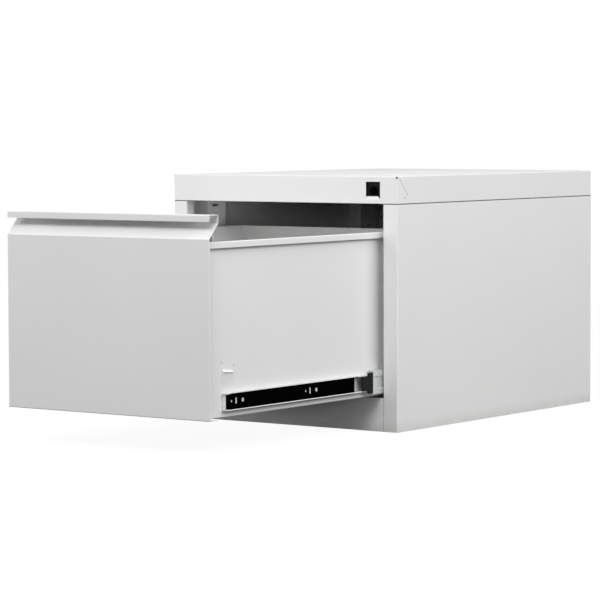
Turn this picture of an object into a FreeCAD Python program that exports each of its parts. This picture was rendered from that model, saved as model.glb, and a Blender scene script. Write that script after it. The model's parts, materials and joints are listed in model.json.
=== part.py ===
import FreeCAD, Part
import Sketcher
import math
import os

# One-drawer steel filing cabinet, shown with its drawer pulled out.
# X runs to the right seen from the front, Y to the back, Z up. The origin is the centre of the footprint.

SIZES = {
    # Cabinet
    "width": 460.0,
    "depth": 620.0,
    "height": 415.0,
    "sheet": 1.0,
    "bend": 1.5,
    "corner_bend": 3.0,
    "edge_round": 0.9,
    "cap_height": 45.0,
    "cap_return": 10.0,
    "mitre_start": 4.0,
    "mitre_run": 30.0,
    "mitre_rise": 13.0,
    "mitre_slit": 1.2,
    "relief_radius": 1.8,
    "weld_mark_radius": 1.3,
    "weld_mark_setback": 22.0,
    "weld_mark_rise": 9.6,
    "stile": 28.0,
    "stile_return": 20.0,
    "rear_flange": 18.0,
    "top_flange": 14.0,
    "flange_relief": 4.0,
    "rail_height": 54.5,
    "rail_return": 18.0,
    "rail_gap": 0.2,
    "tray_upstand": 25.0,
    "seat_gap": 0.3,
    # Uprights
    "upright_width": 50.0,
    "upright_foot": 12.0,
    "front_upright_setback": 59.0,
    "rear_upright_setback": 50.0,
    "slot_length": 18.0,
    "slot_height": 4.0,
    "slot_inset": 11.0,
    "slot_drop": 9.5,
    "slot_pitch": 50.0,
    # Drawer
    "middle_out": 100.0,
    "drawer_out": 357.0,
    "middle_more": 50.0,
    "drawer_more": 43.0,
    "front_gap": 2.0,
    "front_return": 2.5,
    "bottom_return": 20.0,
    "lip_clearance": 4.5,
    "lip_height": 10.5,
    "pull_height": 36.5,
    "pull_rise": 23.5,
    "pull_depth": 22.0,
    "drawer_depth": 612.0,
    "drawer_lift": 2.2,
    "slide_space": 13.0,
    "side_clearance": 45.5,
    "rim_width": 6.0,
    "rim_height": 9.5,
    "side_foot": 15.0,
    "panel_flange": 12.0,
    "liner_drop": 3.0,
    "pin_hole_radius": 2.2,
    "pin_hole_setback": 42.4,
    "pin_hole_rise": 83.0,
    "pin_hole_pitch": 31.0,
    "pin_hole_fall": 6.4,
    "lug_setback": 44.0,
    "lug_length": 25.5,
    "lug_height": 25.0,
    "lug_rise": 72.8,
    "lug_depth": 3.5,
    "lug_ledge": 3.8,
    "lug_undercut": 1.5,
    "lug_tilt": 4.5,
    # Slides
    "slide_length": 550.0,
    "slide_setback": 44.0,
    "slide_rise": 23.3,
    "member_sheet": 1.2,
    "drawer_member_height": 26.0,
    "ball_diameter": 4.76,
    "ball_clearance": 0.07,
    "member_gap": 0.4,
    "bead_depth": 1.0,
    "bead_height": 9.5,
    "race_reach": 9.5,
    "nose_length": 29.0,
    "nose_step": 13.0,
    "nose_margin": 2.9,
    "nose_drop": 4.5,
    "hole_setback": 23.0,
    "pilot_radius": 2.4,
    "slot_offset": 11.5,
    "slot_width": 5.0,
    "slot_tall": 10.0,
    "screw_offset": 26.5,
    "hole_grid": 192.0,
    "strip_thickness": 1.6,
    "strip_width": 7.0,
    "strip_inset": 2.0,
    "ball_pitch": 23.0,
    "ball_pocket_gap": 0.15,
    # Screws
    "screw_radius": 1.6,
    "screw_head_radius": 2.9,
    "screw_head_height": 0.9,
    "recess_length": 3.6,
    "recess_width": 0.9,
    "recess_depth": 0.6,
    "screw_hole_gap": 0.2,
    "screw_length": 6.0,
    "drawer_screw_length": 3.0,
    "cap_screw_inset": 7.0,
    # Lock
    "lock_inset": 48.0,
    "lock_rise": 21.5,
    "lock_width": 28.0,
    "lock_height": 29.2,
    "lock_border": 3.0,
    "lock_recess": 2.5,
    "lock_body": 13.0,
    "lock_tab": 5.5,
    "lock_tab_lean": 2.0,
    "lock_tab_mitre": 6.0,
    "barrel_radius": 7.5,
    "barrel_fit": 0.08,
    "barrel_proud": 1.5,
    "barrel_tail": 2.2,
    "key_width": 1.8,
    "key_height": 8.0,
    "key_depth": 6.0,
    "cam_length": 33.0,
    "cam_width": 10.0,
    "cam_thickness": 2.0,
    "cam_play": 1.4,
}

OUTER_BALLS = 8
INNER_BALLS = 5
UPRIGHT_SLOTS = 6
HOLE_GROUPS = 3
CAP_SCREWS = 3
BACK_SCREWS = 4

X_AXIS, Y_AXIS, Z_AXIS = range(3)
PAD_AXIS = {"XY_Plane": Z_AXIS, "XZ_Plane": Y_AXIS, "YZ_Plane": X_AXIS}
TURN_TO_AXIS = {
    X_AXIS: FreeCAD.Rotation(FreeCAD.Vector(0, 1, 0), 90),
    Y_AXIS: FreeCAD.Rotation(FreeCAD.Vector(1, 0, 0), -90),
    Z_AXIS: FreeCAD.Rotation(),
}

doc = FreeCAD.newDocument("filing_cabinet")
sheet_of_sizes = doc.addObject("Spreadsheet::Sheet", "sizes")
nodes = {}


class Size:
    """A length that keeps its value in millimetres together with its formula in the sheet."""

    def __init__(self, value, formula):
        self.value = value
        self.formula = formula

    def __add__(self, other):
        other = as_size(other)
        return Size(self.value + other.value, f"({self.formula} + {other.formula})")

    def __sub__(self, other):
        other = as_size(other)
        return Size(self.value - other.value, f"({self.formula} - {other.formula})")

    def __mul__(self, other):
        other = as_size(other)
        return Size(self.value * other.value, f"({self.formula} * {other.formula})")

    def __truediv__(self, other):
        other = as_size(other)
        return Size(self.value / other.value, f"({self.formula} / {other.formula})")

    def __neg__(self):
        return Size(-self.value, f"(0 - {self.formula})")

    def root(self):
        return Size(math.sqrt(self.value), f"sqrt({self.formula})")


def as_size(value):
    if isinstance(value, Size):
        return value
    return Size(float(value), f"({float(value)})")


def fill_sheet():
    for row, (name, value) in enumerate(SIZES.items(), start=1):
        sheet_of_sizes.set(f"A{row}", name)
        sheet_of_sizes.set(f"B{row}", str(value))
        sheet_of_sizes.setAlias(f"B{row}", name)
    doc.recompute()


def size(name):
    return Size(SIZES[name], f"sizes.{name}")


def new_body(name):
    return doc.addObject("PartDesign::Body", name)


def bind(item, path, value):
    item.setExpression(path, as_size(value).formula)


def start_sketch(body, plane, start):
    """Put an empty sketch on one of the body's own origin planes, lifted to start along its axis."""
    sketch = body.newObject("Sketcher::SketchObject", "outline")
    support = [item for item in body.Origin.OriginFeatures if item.Role == plane][0]
    sketch.AttachmentSupport = [(support, "")]
    sketch.MapMode = "FlatFace"
    lift = -as_size(start) if plane == "XZ_Plane" else as_size(start)
    bind(sketch, "AttachmentOffset.Base.z", lift)
    return sketch


def tie(sketch, kind, geometry, place, value):
    value = as_size(value)
    index = sketch.addConstraint(Sketcher.Constraint(kind, -1, 1, geometry, place, value.value))
    bind(sketch, f"Constraints[{index}]", value)


def draw_outline(sketch, corners):
    """Draw a closed outline of straight runs, with every corner tied to the sheet."""
    first = sketch.GeometryCount
    count = len(corners)
    points = [FreeCAD.Vector(as_size(u).value, as_size(v).value, 0) for u, v in corners]
    for index in range(count):
        sketch.addGeometry(Part.LineSegment(points[index], points[(index + 1) % count]))
    for index, (u, v) in enumerate(corners):
        following = first + (index + 1) % count
        sketch.addConstraint(Sketcher.Constraint("Coincident", first + index, 2, following, 1))
        tie(sketch, "DistanceX", first + index, 1, u)
        tie(sketch, "DistanceY", first + index, 1, v)


def draw_circle(sketch, centre, radius):
    u, v = centre
    middle = FreeCAD.Vector(as_size(u).value, as_size(v).value, 0)
    circle = sketch.addGeometry(Part.Circle(middle, FreeCAD.Vector(0, 0, 1), as_size(radius).value))
    index = sketch.addConstraint(Sketcher.Constraint("Radius", circle, as_size(radius).value))
    bind(sketch, f"Constraints[{index}]", radius)
    tie(sketch, "DistanceX", circle, 3, u)
    tie(sketch, "DistanceY", circle, 3, v)


def rectangle(u0, v0, u1, v1):
    return [(u0, v0), (u1, v0), (u1, v1), (u0, v1)]


def pad(body, plane, start, end, outlines=(), circles=()):
    """Add material between start and end along the plane's axis."""
    sketch = start_sketch(body, plane, start)
    for corners in outlines:
        draw_outline(sketch, corners)
    for centre, radius in circles:
        draw_circle(sketch, centre, radius)
    feature = body.newObject("PartDesign::Pad", "pad")
    feature.Profile = sketch
    bind(feature, "Length", as_size(end) - start)
    feature.Reversed = plane == "XZ_Plane"
    doc.recompute()
    return feature


def pocket(body, plane, start, end, outlines=(), circles=()):
    """Cut material away between start and end along the plane's axis."""
    before = body.Shape.Volume
    sketch = start_sketch(body, plane, start)
    for corners in outlines:
        draw_outline(sketch, corners)
    for centre, radius in circles:
        draw_circle(sketch, centre, radius)
    feature = body.newObject("PartDesign::Pocket", "pocket")
    feature.Profile = sketch
    bind(feature, "Length", as_size(end) - start)
    feature.Reversed = plane != "XZ_Plane"
    doc.recompute()
    if body.Shape.Volume > before - 1e-6:
        raise RuntimeError(f"a cut in {body.Label} removed nothing")
    return feature


def edges_along(shape, axis, u, v):
    """Name the straight edges that run along an axis through the point u, v of the other two axes."""
    others = [index for index in range(3) if index != axis]
    target = (as_size(u).value, as_size(v).value)
    found = []
    for number, edge in enumerate(shape.Edges, start=1):
        ends = [vertex.Point for vertex in edge.Vertexes]
        if len(ends) != 2 or abs(abs(ends[1][axis] - ends[0][axis]) - edge.Length) > 1e-6:
            continue
        if all(abs(end[other] - goal) < 1e-4 for end in ends for other, goal in zip(others, target)):
            found.append(f"Edge{number}")
    return found


def round_edges(body, places, radius):
    """Round the edges at the given places, each an axis and the two other coordinates."""
    names = []
    for axis, u, v in places:
        names.extend(edges_along(body.Shape, axis, u, v))
    base = body.Tip
    feature = body.newObject("PartDesign::Fillet", "rounding")
    feature.Base = (base, names)
    bind(feature, "Radius", radius)
    doc.recompute()
    return feature


def right_of(start, end):
    """Give the unit direction that points to the right of the run from start to end."""
    du = as_size(end[0]) - start[0]
    dv = as_size(end[1]) - start[1]
    if abs(du.value) < 1e-9:
        return 1.0 if dv.value > 0 else -1.0, 0.0
    if abs(dv.value) < 1e-9:
        return 0.0, -1.0 if du.value > 0 else 1.0
    length = (du * du + dv * dv).root()
    return dv / length, -du / length


def folded_outline(path, thickness, to_right):
    """Give the closed outline of a sheet folded along a path, and the corners on its outer side."""
    sign = 1.0 if to_right else -1.0
    normals = [right_of(path[index], path[index + 1]) for index in range(len(path) - 1)]
    offset = []
    convex = []
    for index, (u, v) in enumerate(path):
        before = normals[max(index - 1, 0)]
        after = normals[min(index, len(normals) - 1)]
        overlap = as_size(before[0]) * after[0] + as_size(before[1]) * after[1]
        scale = as_size(thickness) * sign / (as_size(1.0) + overlap)
        moved = (as_size(u) + scale * (as_size(before[0]) + after[0]),
                 as_size(v) + scale * (as_size(before[1]) + after[1]))
        offset.append(moved)
        turn = as_size(before[0]) * after[1] - as_size(before[1]) * after[0]
        if abs(turn.value) > 1e-6:
            convex.append((u, v) if turn.value * sign < 0 else moved)
    return list(path) + offset[::-1], convex


def folded_sheet(name, plane, path, start, end, to_right, thickness, radius):
    """Make a body from a sheet folded along a path, with its bends rounded on the outside."""
    body = new_body(name)
    outline, convex = folded_outline(path, thickness, to_right)
    pad(body, plane, start, end, [outline])
    round_edges(body, [(PAD_AXIS[plane], u, v) for u, v in convex], radius)
    return body


def cylinder(name, base, axis, radius, length):
    """Make a cylinder that starts at base and runs along one axis."""
    item = doc.addObject("Part::Cylinder", name)
    item.Placement = FreeCAD.Placement(FreeCAD.Vector(), TURN_TO_AXIS[axis])
    bind(item, "Radius", radius)
    bind(item, "Height", length)
    for path, start in zip("xyz", base):
        bind(item, f"Placement.Base.{path}", start)
    return item


def block(name, low, high):
    """Make a box between two corners."""
    item = doc.addObject("Part::Box", name)
    for path, letter, start, end in zip(("Length", "Width", "Height"), "xyz", low, high):
        bind(item, path, as_size(end) - start)
        bind(item, f"Placement.Base.{letter}", start)
    return item


def fuse(name, items):
    item = doc.addObject("Part::MultiFuse", name)
    item.Shapes = items
    item.Refine = True
    return item


def group(name, items):
    item = doc.addObject("Part::Compound", name)
    item.Links = items
    return item


def keep(label, item):
    """Name a finished piece."""
    item.Label = label
    nodes[label] = item
    return item


def mirrored(label, source):
    item = doc.addObject("Part::Mirroring", label)
    item.Source = source
    item.Normal = FreeCAD.Vector(1, 0, 0)
    return keep(label, item)


def pair(name, item):
    """Name a piece of the right side and mirror it to the left."""
    keep(f"{name}_right", item)
    mirrored(f"{name}_left", item)


fill_sheet()

# Places that several pieces share
sheet = size("sheet")
bend = size("bend")
half_width = size("width") / 2
front = -(size("depth") / 2)
back = size("depth") / 2
top = size("height")
wall_inside = half_width - sheet
opening_half = half_width - size("stile")
cap_bottom = top - size("cap_height")
back_face = back - sheet * 2

pulled_out = size("middle_out") + size("drawer_out")
drawer_face = front - pulled_out
drawer_front_half = opening_half - size("front_gap")
face_bottom = size("rail_height") + size("front_gap")
lip_top = cap_bottom - size("lip_clearance")
lip_bottom = lip_top - size("lip_height")
face_top = lip_top - size("pull_height")
slope_top = face_top + size("pull_rise")
drawer_half = opening_half - size("slide_space")
drawer_inside = drawer_half - sheet
side_bottom = face_bottom + size("drawer_lift")
side_top = cap_bottom - size("side_clearance")
foot_top = side_bottom + sheet
drawer_floor_top = foot_top + sheet
liner_front = drawer_face + size("pull_depth") + sheet
drawer_end = drawer_face + size("drawer_depth")

member = size("member_sheet")
slide_z = side_bottom + size("slide_rise")
upright_face = drawer_half + size("slide_space")
ball_gap = size("ball_diameter") + size("ball_clearance") * 2
drawer_member_half = size("drawer_member_height") / 2
middle_inner_half = drawer_member_half + ball_gap
middle_half = middle_inner_half + member
outer_inner_half = middle_half + ball_gap
outer_half = outer_inner_half + member
outer_web = upright_face - member
middle_face = outer_web - size("member_gap")
middle_web = middle_face - member
middle_low_face = middle_face - size("bead_depth")
middle_low_web = middle_web - size("bead_depth")
drawer_member_reach = middle_low_web - size("member_gap")
middle_reach = middle_face - size("race_reach")
outer_reach = upright_face - size("race_reach")
slide_front = front + size("slide_setback")
slide_back = slide_front + size("slide_length")
nose_front = slide_front - size("middle_out")
middle_front = nose_front + size("nose_length")
middle_back = slide_back - size("middle_out")
drawer_member_front = slide_front - pulled_out
drawer_member_back = slide_back - pulled_out

screw_hole = size("screw_radius") + size("screw_hole_gap")
lock_x = half_width - size("lock_inset")
lock_z = cap_bottom + size("lock_rise")
lock_left = lock_x - size("lock_width") / 2
lock_right = lock_x + size("lock_width") / 2
lock_low = lock_z - size("lock_height") / 2
lock_high = lock_z + size("lock_height") / 2
flange_back = front + sheet
lock_floor = flange_back + size("lock_recess")
lock_back = flange_back + size("lock_body")
cam_front = lock_back + size("barrel_tail")
cam_back = cam_front + size("cam_thickness")

front_upright = front + size("front_upright_setback")
rear_upright = back - size("rear_upright_setback") - size("upright_width")


def cap_screw_places():
    """Give the places of the screws that hold the cap to the top flange of the right side."""
    x = half_width - size("cap_screw_inset")
    pitch = size("depth") / CAP_SCREWS
    return [(x, front + pitch * (index + 0.5)) for index in range(CAP_SCREWS)]


def back_screw_places():
    """Give the places of the screws that hold the back panel to the rear flange of the right side."""
    x = half_width - size("rear_flange") / 2
    pitch = cap_bottom / BACK_SCREWS
    return [(x, pitch * (index + 0.5)) for index in range(BACK_SCREWS)]


def upright_screw_places():
    """Give the places along Y of the screws that hold the cabinet member to the right uprights."""
    return [start + size("upright_width") / 2 for start in (front_upright, rear_upright)]


def drawer_hole_places():
    """Give the places along Y of the first hole of each group in the drawer member."""
    first = drawer_member_front + size("hole_setback")
    return [first + size("hole_grid") * index for index in range(HOLE_GROUPS)]


def drawer_screw_places():
    """Give the places along Y of the screws that hold the drawer member to the drawer side."""
    return [y + size("screw_offset") for y in drawer_hole_places()]


def make_top_cap():
    body = new_body("cap")
    pad(body, "XY_Plane", cap_bottom, top, [rectangle(-half_width, front, half_width, back)])
    corner_bend = size("corner_bend")
    round_edges(body, [(Z_AXIS, x, y) for x in (-half_width, half_width) for y in (front, back)], corner_bend)
    places = []
    for z in (cap_bottom, top):
        places.extend((Y_AXIS, x, z) for x in (-half_width, half_width))
        places.extend((X_AXIS, y, z) for y in (front, back))
    round_edges(body, places, bend)
    inside = rectangle(-wall_inside, front + sheet, wall_inside, back - sheet)
    pocket(body, "XY_Plane", cap_bottom + sheet, top - sheet, [inside])
    inner_corners = []
    for x in (-wall_inside, wall_inside):
        inner_corners.extend((Z_AXIS, x, y) for y in (front + sheet, back - sheet))
    round_edges(body, inner_corners, corner_bend - sheet)
    inner = size("cap_return")
    mouth = rectangle(-half_width + inner, front + inner, half_width - inner, back - inner)
    pocket(body, "XY_Plane", cap_bottom - sheet, cap_bottom + sheet * 1.5, [mouth])
    lock_hole = rectangle(lock_left, lock_low, lock_right, lock_high)
    pocket(body, "XZ_Plane", front - sheet, front + sheet * 2, [lock_hole])
    lean = size("lock_tab_lean")
    tab_top = lock_low + size("lock_tab")
    tab = [
        (front, lock_low),
        (flange_back, lock_low),
        (flange_back + lean, tab_top),
        (front + lean, tab_top),
    ]
    pad(body, "YZ_Plane", lock_left, lock_right, [tab])
    mitre = [(lock_right - size("lock_tab_mitre"), tab_top), (lock_right, lock_low + sheet / 2),
             (lock_right, tab_top)]
    pocket(body, "XZ_Plane", front - sheet, front + sheet * 4, [mitre])
    slit = size("mitre_slit")
    low = cap_bottom + size("mitre_rise")
    high = top - bend
    start = front + size("mitre_start")
    run = front + size("mitre_run")
    seam = [(start, high), (start + slit, high), (run + slit, low), (run, low)]
    mark = (front + size("weld_mark_setback"), cap_bottom + size("weld_mark_rise"))
    marks = [(mark, size("weld_mark_radius"))]
    pocket(body, "YZ_Plane", -half_width - sheet, half_width + sheet, [seam], marks)
    relief = size("relief_radius")
    corners = [((x, top - relief - sheet / 2), relief) for x in (relief - half_width, half_width - relief)]
    pocket(body, "XZ_Plane", front - sheet, front + sheet * 2.5, [], corners)
    holes = []
    for x, y in cap_screw_places():
        holes.append(((x, y), screw_hole))
        holes.append(((-x, y), screw_hole))
    pocket(body, "XY_Plane", cap_bottom - sheet, cap_bottom + sheet * 2, [], holes)
    keep("top_cap", body)


def make_side_panel():
    path = [(opening_half, front + size("stile_return")), (opening_half, front), (half_width, front),
            (half_width, back), (half_width - size("rear_flange"), back)]
    body = new_body("side")
    outline, (stile_edge, front_corner, rear_corner) = folded_outline(path, sheet, False)
    pad(body, "XY_Plane", 0.0, cap_bottom, [outline])
    corner_bend = size("corner_bend")
    round_edges(body, [(Z_AXIS, half_width - sheet, front + sheet)], corner_bend - sheet)
    round_edges(body, [(Z_AXIS, *front_corner)], corner_bend)
    round_edges(body, [(Z_AXIS, *stile_edge), (Z_AXIS, *rear_corner)], bend)
    relief = size("flange_relief")
    flange = rectangle(half_width - size("top_flange"), front + relief, half_width - sheet / 2, back - relief)
    pad(body, "XY_Plane", cap_bottom - sheet, cap_bottom, [flange])
    round_edges(body, [(Y_AXIS, half_width, cap_bottom)], size("edge_round"))
    pocket(body, "XY_Plane", cap_bottom - sheet * 2, cap_bottom + sheet, [],
           [(place, screw_hole) for place in cap_screw_places()])
    pocket(body, "XZ_Plane", back - sheet * 2, back + sheet, [],
           [(place, screw_hole) for place in back_screw_places()])
    pair("side_panel", body)


def make_back_panel():
    half = wall_inside - size("seat_gap")
    body = new_body("back")
    pad(body, "XZ_Plane", back_face, back - sheet, [rectangle(-half, 0.0, half, cap_bottom)])
    holes = []
    for x, z in back_screw_places():
        holes.append(((x, z), screw_hole))
        holes.append(((-x, z), screw_hole))
    pocket(body, "XZ_Plane", back_face - sheet, back, [], holes)
    keep("back_panel", body)


def make_bottom_tray():
    behind_stiles = front + size("stile_return") + size("seat_gap")
    rail_half = opening_half - size("rail_gap")
    upstand = size("tray_upstand")
    path = [(-wall_inside, upstand), (-wall_inside, 0.0), (wall_inside, 0.0), (wall_inside, upstand)]
    body = folded_sheet("tray", "XZ_Plane", path, behind_stiles, back_face, False, sheet, bend)
    rail_path = [(behind_stiles + sheet, 0.0), (front, 0.0), (front, size("rail_height")),
                 (front + size("rail_return"), size("rail_height"))]
    outline, convex = folded_outline(rail_path, sheet, True)
    pad(body, "YZ_Plane", -rail_half, rail_half, [outline])
    round_edges(body, [(X_AXIS, y, z) for y, z in convex], bend)
    keep("bottom_tray", body)


def make_upright(name, start, slot_from_front):
    end = start + size("upright_width")
    foot = size("upright_foot")
    foot_face = wall_inside - sheet
    path = [(foot_face, start - foot), (foot_face, start), (upright_face, start), (upright_face, end),
            (foot_face, end), (foot_face, end + foot)]
    low = size("tray_upstand") + size("seat_gap")
    body = folded_sheet("upright", "XY_Plane", path, low, cap_bottom - sheet, True, sheet, bend)
    first = start + size("slot_inset") if slot_from_front else end - size("slot_inset") - size("slot_length")
    slots = []
    for index in range(UPRIGHT_SLOTS):
        centre = cap_bottom - size("slot_drop") - size("slot_pitch") * index
        half = size("slot_height") / 2
        slots.append(rectangle(first, centre - half, first + size("slot_length"), centre + half))
    screw = ((start + size("upright_width") / 2, slide_z), screw_hole)
    pocket(body, "YZ_Plane", upright_face - sheet, upright_face + sheet * 2, slots, [screw])
    pair(name, body)


def make_outer_member():
    path = [(outer_reach, slide_z + outer_half), (upright_face, slide_z + outer_half),
            (upright_face, slide_z - outer_half), (outer_reach, slide_z - outer_half)]
    body = folded_sheet("outer_member", "XZ_Plane", path, slide_front, slide_back, True, member, bend)
    pocket(body, "YZ_Plane", outer_web - sheet, upright_face + sheet, [],
           [((y, slide_z), screw_hole) for y in upright_screw_places()])
    pair("cabinet_slide_member", body)


def make_middle_member():
    bead_inside = middle_half - size("bead_height")
    flat = bead_inside - size("bead_depth")
    path = [(middle_reach, slide_z + middle_half), (middle_face, slide_z + middle_half),
            (middle_face, slide_z + bead_inside), (middle_low_face, slide_z + flat),
            (middle_low_face, slide_z - flat), (middle_face, slide_z - bead_inside),
            (middle_face, slide_z - middle_half), (middle_reach, slide_z - middle_half)]
    body = folded_sheet("middle_member", "XZ_Plane", path, middle_front, middle_back, True, member,
                        size("edge_round"))
    pair("middle_slide_member", body)


def make_nose():
    tall = middle_half - size("nose_margin")
    low = tall - size("nose_drop")
    step = middle_front - size("nose_step")
    body = new_body("nose")
    outline = [(nose_front, slide_z - low), (step, slide_z - low), (step, slide_z - tall),
               (middle_front, slide_z - tall), (middle_front, slide_z + tall), (step, slide_z + tall),
               (step, slide_z + low), (nose_front, slide_z + low)]
    pad(body, "YZ_Plane", middle_low_web, middle_face, [outline])
    round_edges(body, [(Z_AXIS, middle_face, nose_front), (Y_AXIS, middle_face, slide_z + low),
                       (Y_AXIS, middle_face, slide_z - low)], size("edge_round"))
    pair("slide_nose", body)


def make_drawer_member():
    path = [(drawer_member_reach, slide_z + drawer_member_half), (drawer_half, slide_z + drawer_member_half),
            (drawer_half, slide_z - drawer_member_half), (drawer_member_reach, slide_z - drawer_member_half)]
    body = folded_sheet("drawer_member", "XZ_Plane", path, drawer_member_front, drawer_member_back, False,
                        member, bend)
    slots = []
    circles = []
    half_tall = size("slot_tall") / 2
    for y in drawer_hole_places():
        slot_start = y + size("slot_offset") - size("slot_width") / 2
        slots.append(rectangle(slot_start, slide_z - half_tall, slot_start + size("slot_width"),
                               slide_z + half_tall))
        circles.append(((y, slide_z), size("pilot_radius")))
        circles.append(((y + size("screw_offset"), slide_z), screw_hole))
    pocket(body, "YZ_Plane", drawer_half - sheet, drawer_half + member * 2, slots, circles)
    pair("drawer_slide_member", body)


def make_ball_stage(name, inner, outer, low_x, start, balls):
    """Make the ball strips and balls that roll between two members, above and below the slide's middle."""
    strip = size("strip_thickness")
    pitch = size("ball_pitch")
    centre_x = low_x + size("strip_width") / 2
    radius = size("ball_diameter") / 2
    hole = radius + size("ball_pocket_gap")
    end = start + pitch * balls
    ball_rise = (as_size(inner) + outer) / 2
    strips = []
    spheres = []
    for side in (1.0, -1.0):
        height = slide_z + ball_rise * side
        places = [start + pitch * (index + 0.5) for index in range(balls)]
        body = new_body("strip")
        pad(body, "XY_Plane", height - strip / 2, height + strip / 2,
            [rectangle(low_x, start, low_x + size("strip_width"), end)],
            [((centre_x, y), hole) for y in places])
        strips.append(body)
        for y in places:
            ball = doc.addObject("Part::Sphere", "ball")
            bind(ball, "Radius", radius)
            for path, value in zip("xyz", (centre_x, y, height)):
                bind(ball, f"Placement.Base.{path}", value)
            spheres.append(ball)
    pair(f"{name}_ball_strips", group("strips", strips))
    pair(f"{name}_balls", group("balls", spheres))


def make_drawer_front():
    half = drawer_front_half
    wall = drawer_face + size("pull_depth")
    path = [(drawer_face + size("bottom_return"), face_bottom), (drawer_face, face_bottom),
            (drawer_face, face_top), (wall, slope_top), (wall, lip_top - sheet),
            (drawer_face + sheet, lip_top - sheet), (drawer_face + sheet, lip_bottom)]
    body = folded_sheet("drawer_front", "YZ_Plane", path, -half, half, True, sheet, bend)
    turned = rectangle(drawer_face + sheet / 2, face_bottom + bend, drawer_face + size("front_return"),
                       face_top - bend)
    pad(body, "YZ_Plane", half - sheet, half, [turned])
    pad(body, "YZ_Plane", -half, sheet - half, [turned])
    play = size("cam_play")
    reach = lock_z - lip_top
    sweep = (size("cam_length") * size("cam_length") + size("cam_width") * size("cam_width") / 4
             - reach * reach).root()
    slot_y = drawer_face - front + cam_front
    slot = rectangle(lock_x - sweep - play, slot_y - play, lock_x + size("cam_width") / 2 + play,
                     slot_y + size("cam_thickness") + play)
    pocket(body, "XY_Plane", lip_top - sheet * 2, lip_top + sheet, [slot])
    keep("drawer_front", body)


def make_drawer_liner():
    flange = liner_front + size("panel_flange")
    body = new_body("liner")
    path = [(drawer_inside, flange), (drawer_inside, liner_front), (-drawer_inside, liner_front),
            (-drawer_inside, flange)]
    outline, convex = folded_outline(path, sheet, True)
    pad(body, "XY_Plane", drawer_floor_top, side_top, [outline])
    round_edges(body, [(Z_AXIS, x, y) for x, y in convex], bend)
    upper = rectangle(-drawer_inside, side_top, drawer_inside, lip_top - size("liner_drop"))
    pad(body, "XZ_Plane", liner_front, liner_front + sheet, [upper])
    keep("drawer_front_liner", body)


def make_drawer_side():
    rim = drawer_half + size("rim_width")
    path = [(rim, side_top - size("rim_height")), (rim, side_top), (drawer_inside, side_top),
            (drawer_inside, foot_top), (drawer_inside - size("side_foot"), foot_top)]
    body = folded_sheet("drawer_side", "XZ_Plane", path, drawer_face + sheet, drawer_end, False, sheet, bend)
    pin_y = drawer_face + size("pin_hole_setback")
    pin_z = side_bottom + size("pin_hole_rise")
    pin = size("pin_hole_radius")
    circles = [((pin_y, pin_z), pin),
               ((pin_y + size("pin_hole_pitch"), pin_z - size("pin_hole_fall")), pin)]
    for y in drawer_screw_places():
        circles.append(((y, slide_z), screw_hole))
    pocket(body, "YZ_Plane", drawer_inside - sheet, drawer_half + sheet, [], circles)
    wall = sheet / 2
    ledge = size("lug_ledge")
    depth = size("lug_depth")
    foot = -size("lug_height")
    outline = [(0.0, 0.0), (wall, 0.0), (wall + depth, -ledge),
               (wall + depth / 2, -ledge - size("lug_undercut")), (wall, foot), (0.0, foot)]
    lug = new_body("lug")
    pad(lug, "XZ_Plane", 0.0, size("lug_length"), [outline])
    lug.Placement.Rotation = FreeCAD.Rotation(FreeCAD.Vector(1, 0, 0), -SIZES["lug_tilt"])
    bind(lug, "Placement.Base.x", drawer_half - wall)
    bind(lug, "Placement.Base.y", drawer_face + size("lug_setback"))
    bind(lug, "Placement.Base.z", side_bottom + size("lug_rise"))
    pair("drawer_side", fuse("drawer_side_with_lug", [body, lug]))


def make_drawer_back():
    flange = drawer_end - size("panel_flange")
    path = [(drawer_inside, flange), (drawer_inside, drawer_end), (-drawer_inside, drawer_end),
            (-drawer_inside, flange)]
    top = side_top - sheet
    body = folded_sheet("drawer_back", "XY_Plane", path, drawer_floor_top, top, False, sheet, bend)
    hem = rectangle(bend - drawer_inside, flange, drawer_inside - bend, drawer_end - sheet / 2)
    pad(body, "XY_Plane", side_top - sheet * 2, side_top - sheet, [hem])
    keep("drawer_back", body)


def make_drawer_bottom():
    half = drawer_inside - size("seat_gap")
    body = new_body("drawer_floor")
    pad(body, "XY_Plane", foot_top, drawer_floor_top, [rectangle(-half, liner_front, half, drawer_end)])
    keep("drawer_bottom", body)


def make_screw(base, axis, sign, length):
    """Make a pan-head screw with its head's seat at base, and its shank along sign times its axis."""
    head = size("screw_head_height")
    head_base = list(base)
    shank_base = list(base)
    head_base[axis] = as_size(base[axis]) - head if sign > 0 else base[axis]
    shank_base[axis] = as_size(base[axis]) if sign > 0 else as_size(base[axis]) - length
    whole = fuse("screw", [cylinder("head", head_base, axis, size("screw_head_radius"), head),
                           cylinder("shank", shank_base, axis, size("screw_radius"), length)])
    face = as_size(base[axis]) - head if sign > 0 else as_size(base[axis]) + head
    arms = []
    for long_axis in (index for index in range(3) if index != axis):
        low = []
        high = []
        for index in range(3):
            reach = size("recess_length") / 2 if index == long_axis else size("recess_width") / 2
            if index == axis:
                reach = size("recess_depth")
            middle = face if index == axis else as_size(base[index])
            low.append(middle - reach)
            high.append(middle + reach)
        arms.append(block("recess_arm", low, high))
    recessed = doc.addObject("Part::Cut", "recessed_screw")
    recessed.Base = whole
    recessed.Tool = fuse("recess", arms)
    return recessed


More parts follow.
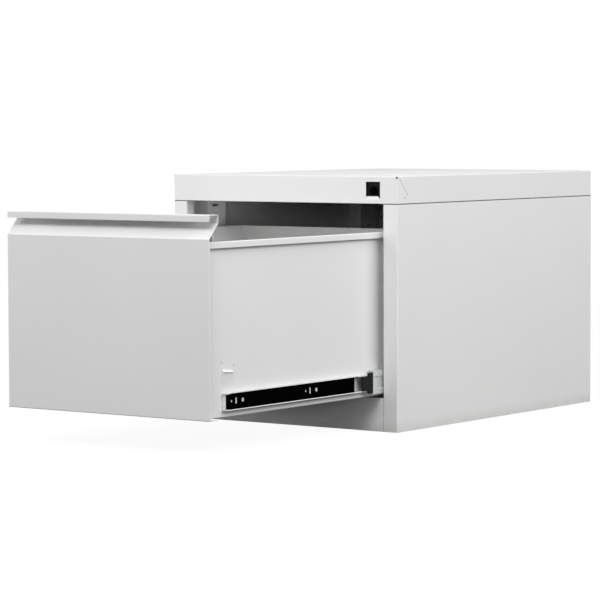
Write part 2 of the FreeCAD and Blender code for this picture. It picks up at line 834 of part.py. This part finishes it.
def make_screws():
    cap = []
    rear = []
    cabinet = []
    drawer = []
    for side in (1.0, -1.0):
        for x, y in cap_screw_places():
            cap.append(make_screw((x * side, y, cap_bottom - sheet), Z_AXIS, 1, size("screw_length")))
        for x, z in back_screw_places():
            rear.append(make_screw((x * side, back, z), Y_AXIS, -1, size("screw_length")))
        for y in upright_screw_places():
            cabinet.append(make_screw((outer_web * side, y, slide_z), X_AXIS, side, size("screw_length")))
        for y in drawer_screw_places():
            seat = (drawer_half + member) * side
            drawer.append(make_screw((seat, y, slide_z), X_AXIS, -side, size("drawer_screw_length")))
    keep("cap_screws", group("cap_screws", cap))
    keep("back_screws", group("back_screws", rear))
    keep("cabinet_slide_screws", group("cabinet_slide_screws", cabinet))
    keep("drawer_slide_screws", group("drawer_slide_screws", drawer))


def make_lock():
    border = size("lock_border")
    barrel = size("barrel_radius")
    body = new_body("housing")
    outside = rectangle(lock_left - border, lock_low - border, lock_right + border, lock_high + border)
    pad(body, "XZ_Plane", flange_back, lock_back, [outside])
    pocket(body, "XZ_Plane", flange_back - sheet, lock_floor,
           [rectangle(lock_left, lock_low, lock_right, lock_high)])
    pocket(body, "XZ_Plane", lock_floor - sheet, lock_back + sheet, [],
           [((lock_x, lock_z), barrel + size("barrel_fit"))])
    keep("lock_housing", body)

    plug = new_body("barrel")
    barrel_front = lock_floor - size("barrel_proud")
    pad(plug, "XZ_Plane", barrel_front, cam_front, [], [((lock_x, lock_z), barrel)])
    key_half = size("key_width") / 2
    key_tall = size("key_height") / 2
    pocket(plug, "XZ_Plane", barrel_front - sheet, barrel_front + size("key_depth"),
           [rectangle(lock_x - key_half, lock_z - key_tall, lock_x + key_half, lock_z + key_tall)])
    pocket(plug, "XZ_Plane", cam_front - size("screw_length"), cam_front + sheet, [],
           [((lock_x, lock_z), screw_hole)])
    keep("lock_barrel", plug)

    cam = new_body("cam")
    half = size("cam_width") / 2
    pad(cam, "XZ_Plane", cam_front, cam_back,
        [rectangle(lock_x - size("cam_length"), lock_z - half, lock_x + half, lock_z + half)],
        [((lock_x, lock_z), screw_hole)])
    keep("lock_cam", cam)
    keep("lock_cam_screw", make_screw((lock_x, cam_back, lock_z), Y_AXIS, -1, size("screw_length")))


def make_all():
    make_top_cap()
    make_side_panel()
    make_back_panel()
    make_bottom_tray()
    make_upright("front_upright", front_upright, True)
    make_upright("rear_upright", rear_upright, False)
    make_outer_member()
    make_middle_member()
    make_nose()
    make_drawer_member()
    inset = size("strip_inset")
    outer_start = slide_front + inset + size("middle_more") / 2
    make_ball_stage("outer", middle_half, outer_inner_half, outer_reach, outer_start, OUTER_BALLS)
    inner_start = middle_front + inset + size("drawer_more") / 2
    make_ball_stage("inner", drawer_member_half, middle_inner_half, middle_reach, inner_start, INNER_BALLS)
    make_drawer_front()
    make_drawer_liner()
    make_drawer_side()
    make_drawer_back()
    make_drawer_bottom()
    make_screws()
    make_lock()


def check_and_write():
    doc.recompute()
    for item in doc.Objects:
        if "Invalid" in item.State or "Error" in item.State:
            raise RuntimeError(f"{item.Label} failed: {item.State}")
    os.makedirs("parts", exist_ok=True)
    for label, item in nodes.items():
        if item.Shape.isNull() or not item.Shape.isValid():
            raise RuntimeError(f"{label} has no valid shape")
        item.Shape.exportStep(f"parts/{label}.step")


make_all()
check_and_write()
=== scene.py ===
import bpy
import json
import math
from mathutils import Matrix, Vector


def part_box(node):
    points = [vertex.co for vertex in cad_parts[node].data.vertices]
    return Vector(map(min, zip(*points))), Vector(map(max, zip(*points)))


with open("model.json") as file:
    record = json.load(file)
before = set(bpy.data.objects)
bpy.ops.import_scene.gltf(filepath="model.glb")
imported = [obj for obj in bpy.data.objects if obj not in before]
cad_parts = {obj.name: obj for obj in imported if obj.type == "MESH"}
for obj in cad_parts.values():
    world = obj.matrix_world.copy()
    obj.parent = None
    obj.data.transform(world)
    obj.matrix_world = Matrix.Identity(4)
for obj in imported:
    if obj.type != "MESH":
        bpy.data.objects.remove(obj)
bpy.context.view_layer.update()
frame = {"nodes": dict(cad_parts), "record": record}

MM = 0.001

# The camera that was fitted to the corners of the cabinet in the photograph
CAMERA_PLACE = Vector((2.7626, -4.0694, 0.5048))
CAMERA_YAW = 0.6276
CAMERA_PITCH = -0.0636
CAMERA_ROLL = -0.0033
CAMERA_LENS = 168.69
CAMERA_REACH = 100.0
SENSOR_WIDTH = 36.0

# Light levels, where 1 renders a colour about as it is written
BACKGROUND = 1.0
ROOM_LIGHT = 0.18
FLOOR_GLOW = 0.94

# The point that every lamp faces, in the cabinet's opening
LIGHT_TARGET = Vector((0.0, -0.3, 0.3))

# Most values of a noise pattern lie between these two
NOISE_LOW = 0.3
NOISE_HIGH = 0.7


def linear(hex_colour):
    """Turn an sRGB hex colour into linear red, green, blue and alpha."""
    channels = [int(hex_colour[start:start + 2], 16) / 255 for start in (1, 3, 5)]
    straight = [c / 12.92 if c <= 0.04045 else ((c + 0.055) / 1.055) ** 2.4 for c in channels]
    return straight + [1.0]


def add(tree, kind, settings=None, inputs=None):
    """Add a node, set its properties, and give its inputs a value or a link from another node's output."""
    made = tree.nodes.new(kind)
    for name, value in (settings or {}).items():
        setattr(made, name, value)
    for socket, source in (inputs or {}).items():
        if isinstance(source, bpy.types.NodeSocket):
            tree.links.new(source, made.inputs[socket])
        else:
            made.inputs[socket].default_value = source
    return made


def new_material(name):
    """Start an empty material and give its tree and its object coordinates."""
    material = bpy.data.materials.new(name)
    material.use_nodes = True
    tree = material.node_tree
    tree.nodes.clear()
    place = add(tree, "ShaderNodeTexCoord").outputs["Object"]
    return material, tree, place


def close_material(tree, shader):
    """Link the finished shader to the surface."""
    add(tree, "ShaderNodeOutputMaterial", inputs={"Surface": shader})


def white_powder_coat(painted_shade_height):
    """Polyester powder baked on sheet steel: satin white, with a fine orange peel and faint handling marks.

    A band of painted shade runs along the seam under the top cap and draws a dark line there.
    """
    peel_size = 2.2 * MM
    peel_depth = 0.06 * MM
    peel_strength = 0.25
    cloud_size = 160 * MM
    scuff_size = 14 * MM
    smoothest = 0.50
    roughest = 0.62
    floor_dirt_height = 22 * MM
    floor_dirt = 0.55
    painted_shade_half = 0.7 * MM
    material, tree, place = new_material("white_powder_coat")
    cloud = add(tree, "ShaderNodeTexNoise", inputs={
        "Vector": place,
        "Scale": 1 / cloud_size,
        "Detail": 3.0,
    })
    tone = add(tree, "ShaderNodeMix", {"data_type": "RGBA"}, {
        "Factor": cloud.outputs["Fac"],
        "A": linear("#E6E6E6"),
        "B": linear("#ECECEB"),
    })
    # Dust and shoe marks gather along the lowest edge
    height = add(tree, "ShaderNodeSeparateXYZ", inputs={"Vector": place})
    low = add(tree, "ShaderNodeMapRange", {"interpolation_type": "SMOOTHSTEP"}, {
        "Value": height.outputs["Z"],
        "From Min": 0.0,
        "From Max": floor_dirt_height,
        "To Min": floor_dirt,
        "To Max": 0.0,
    })
    scuff = add(tree, "ShaderNodeTexNoise", inputs={
        "Vector": place,
        "Scale": 1 / scuff_size,
        "Detail": 6.0,
    })
    dirt = add(tree, "ShaderNodeMath", {"operation": "MULTIPLY"}, {
        0: low.outputs["Result"],
        1: scuff.outputs["Fac"],
    })
    dusty = add(tree, "ShaderNodeMix", {"data_type": "RGBA"}, {
        "Factor": dirt.outputs["Value"],
        "A": tone.outputs["Result"],
        "B": linear("#B9B8B4"),
    })
    # Painted shade: a dark grey band at the height of the seam under the top cap
    painted_seam_shade = add(tree, "ShaderNodeMath", {"operation": "COMPARE"}, {
        0: height.outputs["Z"],
        1: painted_shade_height,
        2: painted_shade_half,
    })
    colour = add(tree, "ShaderNodeMix", {"data_type": "RGBA"}, {
        "Factor": painted_seam_shade.outputs["Value"],
        "A": dusty.outputs["Result"],
        "B": linear("#5E5D5A"),
    })
    gloss = add(tree, "ShaderNodeMapRange", inputs={
        "Value": scuff.outputs["Fac"],
        "From Min": NOISE_LOW,
        "From Max": NOISE_HIGH,
        "To Min": smoothest,
        "To Max": roughest,
    })
    peel = add(tree, "ShaderNodeTexNoise", inputs={
        "Vector": place,
        "Scale": 1 / peel_size,
        "Detail": 2.0,
    })
    bump = add(tree, "ShaderNodeBump", inputs={
        "Strength": peel_strength,
        "Distance": peel_depth,
        "Height": peel.outputs["Fac"],
    })
    coat = add(tree, "ShaderNodeBsdfPrincipled", inputs={
        "Base Color": colour.outputs["Result"],
        "Roughness": gloss.outputs["Result"],
        "Normal": bump.outputs["Normal"],
        "Specular IOR Level": 0.25,
    })
    close_material(tree, coat.outputs["BSDF"])
    return material


def zinc_surface(tree, place):
    """Draw bright zinc on rolled steel, with rolling streaks and a faint spangle that soften its shine.

    The streaks are drawn coarser than real ones, so that they show. Gives the shader and its relief.
    """
    streak_across = 0.7 * MM
    streak_along = 45 * MM
    streak_depth = 0.03 * MM
    streak_strength = 0.2
    spangle_size = 7 * MM
    smoothest = 0.40
    roughest = 0.56
    stretched = add(tree, "ShaderNodeMapping", inputs={
        "Vector": place,
        "Scale": (1 / streak_across, 1 / streak_along, 1 / streak_across),
    })
    streak = add(tree, "ShaderNodeTexNoise", inputs={
        "Vector": stretched.outputs["Vector"],
        "Scale": 1.0,
        "Detail": 3.0,
    })
    spangle = add(tree, "ShaderNodeTexVoronoi", inputs={"Vector": place, "Scale": 1 / spangle_size})
    shine = add(tree, "ShaderNodeMix", {"data_type": "RGBA"}, {
        "Factor": spangle.outputs["Distance"],
        "A": linear("#D4D6D7"),
        "B": linear("#C3C5C7"),
    })
    rough = add(tree, "ShaderNodeMapRange", inputs={
        "Value": streak.outputs["Fac"],
        "From Min": NOISE_LOW,
        "From Max": NOISE_HIGH,
        "To Min": smoothest,
        "To Max": roughest,
    })
    bump = add(tree, "ShaderNodeBump", inputs={
        "Strength": streak_strength,
        "Distance": streak_depth,
        "Height": streak.outputs["Fac"],
    })
    metal = add(tree, "ShaderNodeBsdfPrincipled", inputs={
        "Base Color": shine.outputs["Result"],
        "Metallic": 0.45,
        "Roughness": rough.outputs["Result"],
        "Normal": bump.outputs["Normal"],
    })
    return metal.outputs["BSDF"], bump.outputs["Normal"]


def zinc_steel():
    """Zinc that stays bare, on the screws, the lock's cam, the ball strips and the slides' other members."""
    material, tree, place = new_material("zinc_steel")
    metal, _ = zinc_surface(tree, place)
    close_material(tree, metal)
    return material


def lacquered_zinc(limits):
    """Zinc under a deep black lacquer within the limits, so the slide's face shows no shine.

    The top of the upper flange stays bare. The lower flange's edge is painted near-white as a painted
    highlight.
    """
    material, tree, place = new_material("zinc_steel_black_flat")
    metal, relief = zinc_surface(tree, place)
    lacquer = add(tree, "ShaderNodeBsdfPrincipled", inputs={
        "Base Color": linear("#010101"),
        "Roughness": 0.6,
        "Normal": relief,
        "Specular IOR Level": 0.004,
    })
    # Painted highlight: near-white on the lower flange's outer edge, for the light that edge catches
    painted_highlight = add(tree, "ShaderNodeBsdfPrincipled", inputs={
        "Base Color": linear("#FAFAFA"),
        "Metallic": 0.3,
        "Roughness": 0.35,
    })
    axes = add(tree, "ShaderNodeSeparateXYZ", inputs={"Vector": place})
    from_middle = add(tree, "ShaderNodeMath", {"operation": "ABSOLUTE"}, {0: axes.outputs["X"]})
    face = [(axes.outputs["Y"], "GREATER_THAN", limits["front"]),
            (axes.outputs["Y"], "LESS_THAN", limits["back"]),
            (axes.outputs["Z"], "LESS_THAN", limits["top"])]
    highlight_edge = [(from_middle.outputs["Value"], "GREATER_THAN", limits["reach"]),
                  (axes.outputs["Z"], "LESS_THAN", limits["middle"])]
    surface = metal
    for finish, tests in ((lacquer, face), (painted_highlight, highlight_edge)):
        covered = 1.0
        for distance, operation, edge in tests:
            inside = add(tree, "ShaderNodeMath", {"operation": operation}, {0: distance, 1: edge})
            both = add(tree, "ShaderNodeMath", {"operation": "MULTIPLY"}, {
                0: covered,
                1: inside.outputs["Value"],
            })
            covered = both.outputs["Value"]
        mixed = add(tree, "ShaderNodeMixShader", inputs={
            0: covered,
            1: surface,
            2: finish.outputs["BSDF"],
        })
        surface = mixed.outputs["Shader"]
    close_material(tree, surface)
    return material


def ball_steel():
    """Hardened bearing steel, ground and polished: a bright mirror with fine rolling scratches.

    The scratches are drawn coarser than real ones, so that they show.
    """
    scratch_size = 0.5 * MM
    smoothest = 0.04
    roughest = 0.14
    material, tree, place = new_material("ball_steel")
    scratch = add(tree, "ShaderNodeTexNoise", inputs={
        "Vector": place,
        "Scale": 1 / scratch_size,
        "Detail": 2.0,
    })
    rough = add(tree, "ShaderNodeMapRange", inputs={
        "Value": scratch.outputs["Fac"],
        "To Min": smoothest,
        "To Max": roughest,
    })
    steel = add(tree, "ShaderNodeBsdfPrincipled", inputs={
        "Base Color": linear("#DADCDD"),
        "Metallic": 1.0,
        "Roughness": rough.outputs["Result"],
    })
    close_material(tree, steel.outputs["BSDF"])
    return material


def black_plastic():
    """Black nylon, moulded with a fine spark-eroded grain, so it stays dark with a soft gloss.

    The grain is drawn coarser than a real one, so that it shows.
    """
    grain_size = 0.6 * MM
    grain_depth = 0.04 * MM
    grain_strength = 0.3
    smoothest = 0.38
    roughest = 0.58
    material, tree, place = new_material("black_plastic")
    grain = add(tree, "ShaderNodeTexNoise", inputs={
        "Vector": place,
        "Scale": 1 / grain_size,
        "Detail": 3.0,
    })
    tone = add(tree, "ShaderNodeMix", {"data_type": "RGBA"}, {
        "Factor": grain.outputs["Fac"],
        "A": linear("#070707"),
        "B": linear("#141414"),
    })
    rough = add(tree, "ShaderNodeMapRange", inputs={
        "Value": grain.outputs["Fac"],
        "To Min": smoothest,
        "To Max": roughest,
    })
    bump = add(tree, "ShaderNodeBump", inputs={
        "Strength": grain_strength,
        "Distance": grain_depth,
        "Height": grain.outputs["Fac"],
    })
    nylon = add(tree, "ShaderNodeBsdfPrincipled", inputs={
        "Base Color": tone.outputs["Result"],
        "Roughness": rough.outputs["Result"],
        "Normal": bump.outputs["Normal"],
        "Specular IOR Level": 0.1,
    })
    close_material(tree, nylon.outputs["BSDF"])
    return material


def black_lock():
    """Black nickel on a die-cast barrel: almost black, with fine handling marks that break its gloss."""
    mark_size = 0.9 * MM
    smoothest = 0.40
    roughest = 0.60
    material, tree, place = new_material("black_lock")
    mark = add(tree, "ShaderNodeTexNoise", inputs={
        "Vector": place,
        "Scale": 1 / mark_size,
        "Detail": 4.0,
    })
    tone = add(tree, "ShaderNodeMix", {"data_type": "RGBA"}, {
        "Factor": mark.outputs["Fac"],
        "A": linear("#010101"),
        "B": linear("#050505"),
    })
    rough = add(tree, "ShaderNodeMapRange", inputs={
        "Value": mark.outputs["Fac"],
        "To Min": smoothest,
        "To Max": roughest,
    })
    nickel = add(tree, "ShaderNodeBsdfPrincipled", inputs={
        "Base Color": tone.outputs["Result"],
        "Roughness": rough.outputs["Result"],
        "Specular IOR Level": 0.01,
    })
    close_material(tree, nickel.outputs["BSDF"])
    return material


def finish_pieces():
    """Give every piece the finish of its material slot, and the drawer's slide members their black face."""
    low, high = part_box("drawer_slide_member_right")
    nose_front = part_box("slide_nose_right")[0].y
    bright_end_front = 8 * MM
    bright_end_back = 9 * MM
    bright_skin = 0.3 * MM
    limits = {
        "front": low.y + bright_end_front,
        "back": nose_front - bright_end_back,
        "top": high.z - bright_skin,
        # The middle and the reach bound the painted highlight on the lower flange's edge
        "middle": (low.z + high.z) / 2,
        "reach": high.x - bright_skin,
    }
    finishes = {
        "white_powder_coat": white_powder_coat(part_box("top_cap")[0].z),
        "zinc_steel": zinc_steel(),
        "ball_steel": ball_steel(),
        "black_plastic": black_plastic(),
        "black_lock": black_lock(),
    }
    lacquered = lacquered_zinc(limits)
    for entry in frame["record"]["subparts"]:
        piece = frame["nodes"][entry["node"]]
        finish = finishes[entry["material_slot"]]
        if entry["node"].startswith("drawer_slide_member"):
            finish = lacquered
        piece.data.materials.clear()
        piece.data.materials.append(finish)


def rays_that_see_white(tree):
    """Give 1 for rays from the camera, clear pieces and shiny ones, and 0 for those that light a piece."""
    ray = add(tree, "ShaderNodeLightPath")
    seen = add(tree, "ShaderNodeMath", {"operation": "MAXIMUM"}, {
        0: ray.outputs["Is Camera Ray"],
        1: ray.outputs["Is Transmission Ray"],
    })
    shown = add(tree, "ShaderNodeMath", {"operation": "MAXIMUM"}, {
        0: seen.outputs["Value"],
        1: ray.outputs["Is Glossy Ray"],
    })
    return shown.outputs["Value"]


def make_floor():
    """Lay a plain pale floor that shows white to the camera and keeps the cabinet's shadow."""
    floor_size = 40.0
    floor_drop = 0.5 * MM
    fade_start = 1.5
    fade_end = 4.0
    bpy.ops.object.select_all(action="DESELECT")
    bpy.ops.mesh.primitive_plane_add(size=floor_size, location=(0.0, 0.0, -floor_drop))
    floor = bpy.context.active_object
    floor.name = "floor"
    bpy.ops.object.transform_apply(location=True)
    material, tree, place = new_material("pale_floor")
    shown = rays_that_see_white(tree)
    # Away from the lamps the floor glows fully, so that it meets the white behind it without a line
    away = add(tree, "ShaderNodeVectorMath", {"operation": "LENGTH"}, {0: place})
    level = add(tree, "ShaderNodeMapRange", {"interpolation_type": "SMOOTHSTEP"}, {
        "Value": away.outputs["Value"],
        "From Min": fade_start,
        "From Max": fade_end,
        "To Min": FLOOR_GLOW,
        "To Max": BACKGROUND,
    })
    glow = add(tree, "ShaderNodeMath", {"operation": "MULTIPLY"}, {0: shown, 1: level.outputs["Result"]})
    matt = add(tree, "ShaderNodeBsdfDiffuse", inputs={"Color": linear("#585858")})
    light = add(tree, "ShaderNodeEmission", inputs={"Strength": glow.outputs["Value"]})
    both = add(tree, "ShaderNodeAddShader", inputs={0: matt.outputs["BSDF"], 1: light.outputs["Emission"]})
    close_material(tree, both.outputs["Shader"])
    floor.data.materials.append(material)


def make_world():
    """Surround the object with even light, and show white behind it."""
    world = bpy.data.worlds.new("studio")
    world.use_nodes = True
    bpy.context.scene.world = world
    tree = world.node_tree
    tree.nodes.clear()
    shown = rays_that_see_white(tree)
    level = add(tree, "ShaderNodeMapRange", inputs={
        "Value": shown,
        "To Min": ROOM_LIGHT,
        "To Max": BACKGROUND,
    })
    sky = add(tree, "ShaderNodeBackground", inputs={
        "Color": linear("#FFFFFF"),
        "Strength": level.outputs["Result"],
    })
    add(tree, "ShaderNodeOutputWorld", inputs={"Surface": sky.outputs["Background"]})


def softbox(name, place, size, power):
    """Hang a square soft light at a place, facing the cabinet."""
    lamp = bpy.data.lights.new(name, "AREA")
    lamp.size = size
    lamp.energy = power
    holder = bpy.data.objects.new(name, lamp)
    bpy.context.scene.collection.objects.link(holder)
    holder.location = place
    holder.rotation_euler = (LIGHT_TARGET - Vector(place)).to_track_quat("-Z", "Y").to_euler()


def make_camera():
    """Put the camera where the photograph was taken from."""
    forward = Vector((-math.sin(CAMERA_YAW) * math.cos(CAMERA_PITCH),
                      math.cos(CAMERA_YAW) * math.cos(CAMERA_PITCH),
                      math.sin(CAMERA_PITCH)))
    level_right = Vector((math.cos(CAMERA_YAW), math.sin(CAMERA_YAW), 0.0))
    level_up = level_right.cross(forward)
    right = level_right * math.cos(CAMERA_ROLL) + level_up * math.sin(CAMERA_ROLL)
    up = level_up * math.cos(CAMERA_ROLL) - level_right * math.sin(CAMERA_ROLL)
    view = bpy.data.cameras.new("camera")
    view.lens = CAMERA_LENS
    view.sensor_width = SENSOR_WIDTH
    view.clip_end = CAMERA_REACH
    camera = bpy.data.objects.new("camera", view)
    bpy.context.scene.collection.objects.link(camera)
    turn = Matrix((right, up, -forward)).transposed().to_4x4()
    camera.matrix_world = Matrix.Translation(CAMERA_PLACE) @ turn
    bpy.context.scene.camera = camera


make_camera()
finish_pieces()
make_floor()
make_world()
softbox("top_light", place=(0.2, -1.3, 2.0), size=1.2, power=7.5)
softbox("right_light", place=(2.4, -0.6, 2.0), size=1.5, power=30.0)
softbox("rear_light", place=(2.6, 0.8, 1.6), size=1.5, power=33.0)
softbox("left_light", place=(-2.0, -3.0, 2.2), size=1.2, power=31.0)
softbox("front_light", place=(1.2, -3.2, 2.4), size=1.2, power=52.0)
softbox("camera_light", place=(2.6, -4.4, 0.72), size=0.4, power=9.0)
softbox("side_light", place=(-2.5, -0.9, 0.6), size=0.8, power=32.0)
bpy.context.scene.view_settings.view_transform = "Standard"
